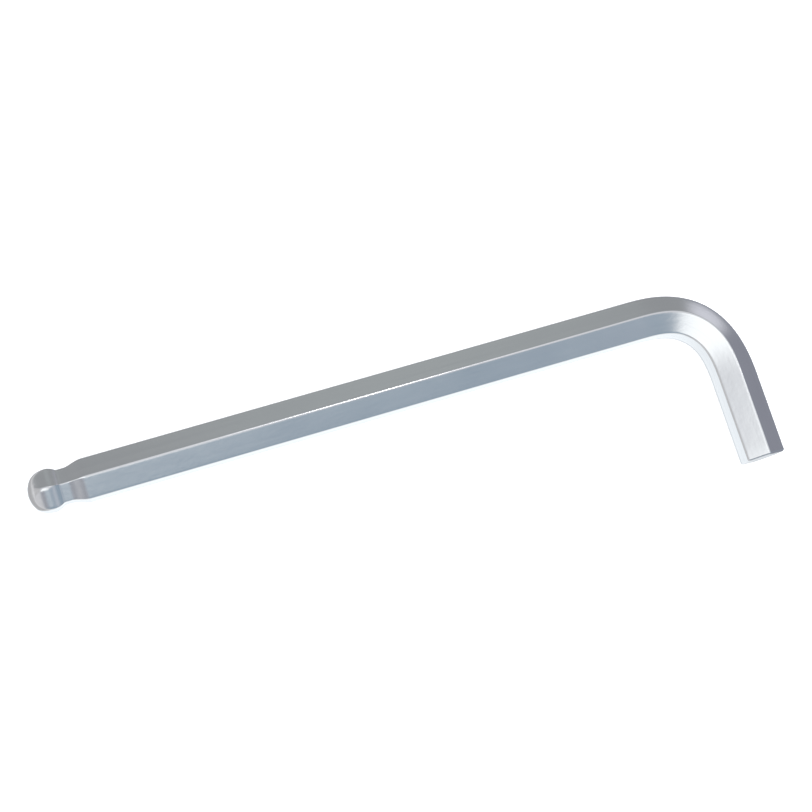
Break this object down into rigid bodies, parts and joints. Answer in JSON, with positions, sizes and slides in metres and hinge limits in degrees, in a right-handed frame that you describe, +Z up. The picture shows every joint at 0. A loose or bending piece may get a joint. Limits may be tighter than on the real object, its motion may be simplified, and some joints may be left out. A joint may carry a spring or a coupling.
{
  "type": "hex key",
  "caption": "One-piece L-shaped hexagonal driver key in bright plated steel, with a ball end on the long arm and a square-cut short arm.",
  "frame": {"origin": "on the surface that the key lies on, at the middle of its bounding box seen from above", "axes": "+X along the long arm, from the ball end to the bend; the short arm points to -Y; +Z up from the surface"},
  "size_m": [0.18, 0.047, 0.0113],
  "materials": {
    "bright_plating": "bright nickel plate with a satin sheen over drawn steel, with faint marks along the bar"
  },
  "bodies": {
    "root": {"hex_key": "bright_plating"}
  },
  "joints": []
}
